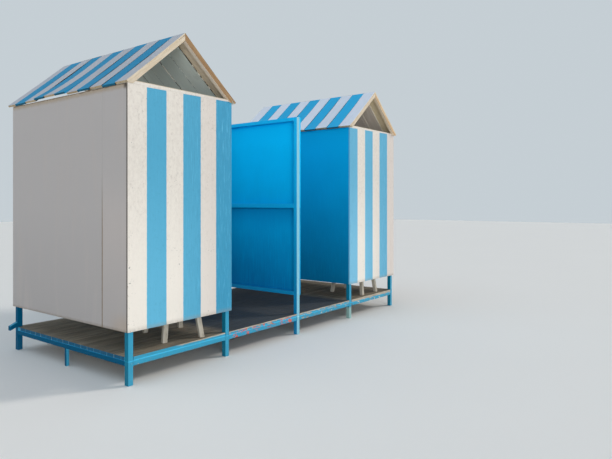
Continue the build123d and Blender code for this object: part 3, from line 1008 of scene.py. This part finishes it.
class HUT_OT_gables(bpy.types.Operator):
    """Finish the rafters, ties and ridge beams"""

    bl_idname = "hut.gables"
    bl_label = "Gable Timber"

    def execute(self, context):
        cream = cream_wood("cream_timber")
        tan = {"left": tan_wood("tan_timber"),
               "right": timber("orange_timber", srgb(228, 198, 160), srgb(198, 156, 112), 0.1)}
        # Painted light: the timber inside the gables is set pale to stand in for light thrown up under the
        # roof
        pale = timber("pale_timber", srgb(254, 240, 222), srgb(238, 218, 194), 0.03)
        light = timber("light_timber", srgb(250, 234, 208), srgb(236, 210, 178), 0.02)
        for side in SIDES:
            for node in (side + "_front_rafters", side + "_back_rafters"):
                self.rafters(node, side, [cream, tan[side], pale if side == "left" else light])
            self.ties(side)
            self.beam(side + "_ridge_beam", pale)
        return {"FINISHED"}

    def rafters(self, node, side, finishes):
        """A pair of rafters, each with its grain along its own slope."""
        low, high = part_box(node)
        middle = (low.x + high.x) / 2
        lies = {word: slope_lie(side + "_roof_" + word + "_slope", word) for word in SIDES}
        bm = eased_copy(node, sizes().timber_corner)
        grain, tone = grain_layers(bm)
        for vert in bm.verts:
            word = "right" if vert.co.x > middle else "left"
            down, up = lies[word][1:3]
            vert[grain] = Vector((vert.co.dot(down), vert.co.y, vert.co.dot(up) + RAFTER_GRAIN[word]))
            vert[tone] = GABLE_TONE
        for face in bm.faces:
            right = face.calc_center_median().x > middle
            # The right rafter's inner faces take that pale timber, as painted light
            face.material_index = 0 if not right else 1 if abs(face.normal.y) > BOARD_FACING else 2
        piece(bm, node + "_timber", finishes, [node])

    def ties(self, side):
        """Tie bands: the front one is striped with its wall."""
        node = side + "_gable_ties"
        bm = eased_copy(node, sizes().timber_corner)
        finishes = [bpy.data.materials[side + "_stripes"],
                    timber(side + "_back_tie", srgb(232, 224, 212), srgb(206, 194, 176), 0.1)]
        follow_grain(bm, Vector((1, 0, 0)), GABLE_TONE, Vector((0, 0, 5)))
        for face in bm.faces:
            face.material_index = 1 if face.calc_center_median().y > 0 else 0
        piece(bm, node + "_timber", finishes, [node])

    def beam(self, node, finish):
        """A ridge beam, its grain from front to back."""
        bm = eased_copy(node, sizes().timber_corner)
        follow_grain(bm, Vector((0, 1, 0)), GABLE_TONE, Vector((0, 0, 9)))
        piece(bm, node + "_timber", [finish], [node])


def deck_row(number):
    """Front and back edge of one row of the deck, without the gaps."""
    pitch = (DECK_HIGH.y - DECK_LOW.y) / sizes().deck_boards
    return DECK_LOW.y + number * pitch, DECK_LOW.y + (number + 1) * pitch


class HUT_OT_deck(bpy.types.Operator):
    """Lay the deck boards on the base rails, notched round the posts at the front and the back"""

    bl_idname = "hut.deck"
    bl_label = "Deck Boards"

    def execute(self, context):
        rng = random.Random(11)
        # The deck boards, with painted shade in the passages
        top = timber("deck_boards", colours().deck, srgb(120, 108, 91), 0.35, 1.0, 0.0018, 0.89)
        edge = edge_paint("deck_edges", colours().steel_blue, srgb(206, 194, 174), srgb(136, 124, 106))
        # Painted shade: the deck's left end faces take a deeper blue
        end = edge_paint("shaded_deck_left_end", srgb(0, 84, 118), srgb(120, 114, 102), srgb(84, 78, 70))
        bm = bmesh.new()
        grain_layers(bm)
        final = sizes().deck_boards - 1
        gap = sizes().deck_gap / 2
        for number in range(final + 1):
            front, back = deck_row(number)
            front += gap if number else 0
            back -= gap if number < final else 0
            wave = rng.uniform(*DECK_WAVE)
            phase = rng.uniform(0, 2 * pi)

            def bend(co, wave=wave, phase=phase):
                return Vector((co.x, co.y, co.z - wave * (1 + sin(co.x * DECK_WAVE_RATE + phase))))

            if number == 0:
                self.notched(bm, rng, front, back)
            elif number == final:
                self.notched(bm, rng, back, front)
            else:
                low = (DECK_LOW.x + rng.uniform(0, DECK_TRIM), front, DECK_LOW.z)
                high = (DECK_HIGH.x - rng.uniform(0, DECK_TRIM), back, DECK_HIGH.z)
                plank(bm, low, high, DECK_CUTS, rng, bend)
        for face in bm.faces:
            face.normal_update()
            outward = abs(face.normal.x) > FACING or abs(face.normal.y) > FACING
            middle = face.calc_center_median()
            rim = abs(middle.x) > DECK_HIGH.x - RIM_BY_END or abs(middle.y) > DECK_HIGH.y - RIM_BY_FRONT
            # Rim faces take the edge paint, and those facing -X the deeper blue of painted shade
            face.material_index = 0 if not (outward and rim) else 2 if face.normal.x < -FACING else 1
        piece(bm, "deck_boards", [top, edge, end], ["deck"])
        return {"FINISHED"}

    def notched(self, bm, rng, outer, inner):
        """Edge board with a notch for each post, between its outer and inner edge."""
        grain, tone = grain_layers(bm)
        faces = x_places("left_posts", "screen_posts", "right_posts")
        notch = outer + (POST_WIDTH + NOTCH_CLEARANCE) * (1 if outer < inner else -1)
        outline = [(faces[0], notch)]
        for left, right in zip(faces[1:-1:2], faces[2:-1:2]):
            left, right = left + NOTCH_CLEARANCE, right - NOTCH_CLEARANCE
            outline += [(left, notch), (left, outer), (right, outer), (right, notch)]
        outline += [(faces[-1], notch), (faces[-1], inner), (faces[0], inner)]
        verts = [bm.verts.new((x, y, DECK_LOW.z)) for x, y in outline]
        base = bm.faces.new(verts)
        grown = bmesh.ops.extrude_face_region(bm, geom=[base])
        top = [item for item in grown["geom"] if isinstance(item, bmesh.types.BMVert)]
        bmesh.ops.translate(bm, verts=top, vec=(0, 0, DECK_HIGH.z - DECK_LOW.z))
        edges = list({edge for vert in verts + top for edge in vert.link_edges})
        rounded = ease(bm, edges, sizes().timber_corner)
        shift = scatter(rng, GRAIN_REACH)
        for vert in rounded:
            vert[grain] = vert.co + shift
            vert[tone] = NOTCHED_TONE


class HUT_OT_stools(bpy.types.Operator):
    """Finish the stools that stand on the deck behind the front walls"""

    bl_idname = "hut.stools"
    bl_label = "Stools"

    def execute(self, context):
        wood = timber("stool_timber", srgb(222, 216, 202), srgb(186, 174, 154), 0.2)
        for number, side in enumerate(SIDES):
            for node, along in ((side + "_stool_legs", Vector((0, 0, 1))),
                                (side + "_stool_seat", Vector((1, 0, 0)))):
                bm = eased_copy(node, STOOL_CORNER)
                follow_grain(bm, along, 0.2 + 0.3 * number, Vector((number * 7, 0, 0)))
                piece(bm, node + "_timber", [wood], [node])
        return {"FINISHED"}


class HUT_OT_fixings(bpy.types.Operator):
    """Set the nails of the deck boards, two on each joist"""

    bl_idname = "hut.fixings"
    bl_label = "Deck Nails"

    def execute(self, context):
        rng = random.Random(3)
        bm = bmesh.new()
        joists = []
        for node in ("base_end_rails", "base_cross_rails"):
            faces = x_places(node)
            joists += [(left + right) / 2 for left, right in zip(faces[::2], faces[1::2])]
        for number in range(1, sizes().deck_boards - 1):
            for x in joists:
                for share in NAIL_SHARES:
                    y = deck_row(number + share)[0] + rng.uniform(-NAIL_STRAY_Y, NAIL_STRAY_Y)
                    stray = rng.uniform(-NAIL_STRAY_X, NAIL_STRAY_X)
                    centre = Vector((x + stray, y, DECK_HIGH.z - NAIL_HEIGHT / 2))
                    bmesh.ops.create_cone(
                        bm, cap_ends=True, cap_tris=False, segments=10, depth=NAIL_HEIGHT,
                        radius1=NAIL_RADIUS, radius2=NAIL_RADIUS * NAIL_TAPER,
                        matrix=Matrix.Translation(centre))
        piece(bm, "deck_nails", [rusted("nail_heads")])
        return {"FINISHED"}


class HUT_OT_stage(bpy.types.Operator):
    """Set up the floor, the backdrop colour, the lamps and the camera"""

    bl_idname = "hut.stage"
    bl_label = "Stage"

    def execute(self, context):
        scene = context.scene
        bm = bmesh.new()
        bmesh.ops.create_grid(bm, x_segments=8, y_segments=8, size=FLOOR_REACH)
        mesh = bpy.data.meshes.new("studio_floor")
        bm.to_mesh(mesh)
        bm.free()
        mesh.materials.append(floor_finish("studio_floor"))
        floor = bpy.data.objects.new("studio_floor", mesh)
        scene.collection.objects.link(floor)
        self.world(scene)
        for name, (turn, height, softness, power, colour) in LAMPS.items():
            self.sun(scene, name, radians(turn), radians(height), radians(softness), power, colour)
        inside = self.lamp(scene, "gable_lamp", "POINT", GABLE_LAMP_POWER, (1.0, 0.98, 0.94))
        inside.data.shadow_soft_size = GABLE_LAMP_RADIUS
        inside.location = Vector(((FRONT_LOW.x + FRONT_HIGH.x) / 2, 0, WALL_TOP)) + GABLE_LAMP_PLACE
        self.camera(scene)
        scene.view_settings.view_transform = "Standard"
        return {"FINISHED"}

    def world(self, scene):
        """Soft light from all round, and a plain backdrop for the camera and for reflections."""
        world = bpy.data.worlds.new("studio")
        scene.world = world
        world.use_nodes = True
        tree = world.node_tree
        tree.nodes.clear()
        rays = [add_node(tree, "ShaderNodeLightPath", output="Is %s Ray" % kind)
                for kind in ("Camera", "Glossy", "Transmission")]
        shown = (rays[0] + rays[1] + rays[2]).least(1.0)
        backgrounds = [
            add_node(tree, "ShaderNodeBackground", sockets={"Color": colour, "Strength": strength})
            for colour, strength in ((SKY_COLOUR, SKY_STRENGTH), (BACKDROP_COLOUR, 1.0))]
        both = add_node(tree, "ShaderNodeMixShader", sockets=dict(enumerate([shown, *backgrounds])))
        add_node(tree, "ShaderNodeOutputWorld", sockets={"Surface": both})

    def lamp(self, scene, name, kind, power, colour):
        """A lamp of one of Blender's kinds, linked to the scene."""
        data = bpy.data.lights.new(name, kind)
        data.energy = power
        data.color = colour
        lamp = bpy.data.objects.new(name, data)
        scene.collection.objects.link(lamp)
        return lamp

    def sun(self, scene, name, turn, height, softness, power, colour):
        """A broad even lamp: turn is its angle from straight ahead towards +X, height its elevation."""
        lamp = self.lamp(scene, name, "SUN", power, colour)
        lamp.data.angle = softness
        aim = Vector((-sin(turn) * cos(height), cos(turn) * cos(height), -sin(height)))
        lamp.location = -8.0 * aim
        lamp.rotation_euler = aim.to_track_quat("-Z", "Y").to_euler()

    def camera(self, scene):
        """The photograph's viewpoint, level and turned towards the front."""
        data = bpy.data.cameras.new("camera")
        data.sensor_width = SENSOR_WIDTH
        data.lens = SENSOR_WIDTH * LENS_PIXELS / PICTURE_WIDTH
        data.shift_y = SHIFT_PIXELS / PICTURE_WIDTH
        data.clip_end = 200.0
        camera = bpy.data.objects.new("camera", data)
        camera.location = CAMERA_PLACE
        camera.rotation_euler = (pi / 2, 0, radians(CAMERA_TURN - 90))
        scene.collection.objects.link(camera)
        scene.camera = camera


class HUT_PT_panel(bpy.types.Panel):
    """Lists the steps that dress the hut"""

    bl_idname = "HUT_PT_panel"
    bl_label = "Beach Changing Hut"
    bl_space_type = "VIEW_3D"
    bl_region_type = "UI"
    bl_category = "Hut"

    def draw(self, context):
        layout = self.layout
        for step in STEPS:
            layout.operator(step.bl_idname)
        for group in (context.scene.hut_sizes, context.scene.hut_colours):
            box = layout.box()
            for name in type(group).__annotations__:
                box.prop(group, name)


STEPS = (HUT_OT_stage, HUT_OT_tubes, HUT_OT_welds, HUT_OT_sheets, HUT_OT_roof, HUT_OT_gables,
         HUT_OT_deck, HUT_OT_stools, HUT_OT_fixings)
CLASSES = (HutSizes, HutColours, *STEPS, HUT_PT_panel)


def register():
    for item in CLASSES:
        bpy.utils.register_class(item)
    bpy.types.Scene.hut_sizes = bpy.props.PointerProperty(type=HutSizes)
    bpy.types.Scene.hut_colours = bpy.props.PointerProperty(type=HutColours)


def unregister():
    del bpy.types.Scene.hut_colours
    del bpy.types.Scene.hut_sizes
    for item in reversed(CLASSES):
        bpy.utils.unregister_class(item)


def main():
    """Dresses the hut."""
    register()
    for step in STEPS:
        area, name = step.bl_idname.split(".")
        getattr(getattr(bpy.ops, area), name)()


if __name__ == "__main__":
    main()
